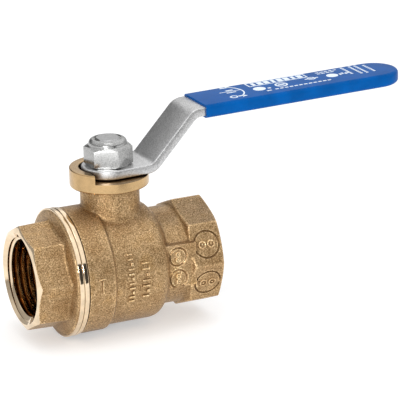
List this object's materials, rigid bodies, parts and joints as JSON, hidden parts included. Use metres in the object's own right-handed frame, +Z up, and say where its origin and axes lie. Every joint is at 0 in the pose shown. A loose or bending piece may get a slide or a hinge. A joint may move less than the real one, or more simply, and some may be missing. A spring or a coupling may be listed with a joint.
{
  "type": "ball valve",
  "caption": "Two-piece brass ball valve with threaded pipe sockets, octagonal ends, chromed ball, packed stem and a cranked steel lever with a dipped blue grip.",
  "frame": {"origin": "centre of the ball, where the pipe axis and the stem axis cross", "axes": "+X along the flow from the screwed end cap to the body's own socket, +Z up the stem, lever along +X when open"},
  "size_m": [0.1295, 0.0398, 0.0689],
  "materials": {
    "forged_brass": "grit-blasted forged brass, turned bright at the faces and rings",
    "turned_brass": "turned",
    "ball_chrome": "polished",
    "plated_stem": "satin plate",
    "lever_steel": "satin zinc plate",
    "nut_steel": "bright zinc plate",
    "grip_vinyl": "dipped vinyl, glossy",
    "grip_print": "printed marks on the grip",
    "seal_ptfe": "waxy white",
    "seal_rubber": "matt",
    "insert_nylon": "natural nylon"
  },
  "bodies": {
    "valve": {"valve_body": "forged_brass", "end_cap": "forged_brass", "body_seal_ring": "seal_ptfe", "inlet_seat": "seal_ptfe", "outlet_seat": "seal_ptfe", "thrust_washer": "seal_ptfe", "lower_packing_ring": "seal_ptfe", "middle_packing_ring": "seal_ptfe", "upper_packing_ring": "seal_ptfe", "gland_washer": "turned_brass", "gland_nut": "turned_brass"},
    "handle": {"stem": "plated_stem", "stem_o_ring": "seal_rubber", "lever": "lever_steel", "grip_sleeve": "grip_vinyl", "handle_nut": "nut_steel", "nut_insert": "insert_nylon"},
    "ball": {"ball": "ball_chrome"}
  },
  "joints": [
    {"name": "lever_turn", "type": "hinge", "parent": "valve", "child": "handle", "pos_m": [0, 0, 0], "axis": [0, 0, 1], "range_deg": [-90, 0]},
    {"name": "ball_turn", "type": "hinge", "parent": "valve", "child": "ball", "pos_m": [0, 0, 0], "axis": [0, 0, 1], "range_deg": [-90, 0]}
  ],
  "couplings": [
    {"joint": "ball_turn", "follows": "lever_turn", "ratio": 1}
  ]
}
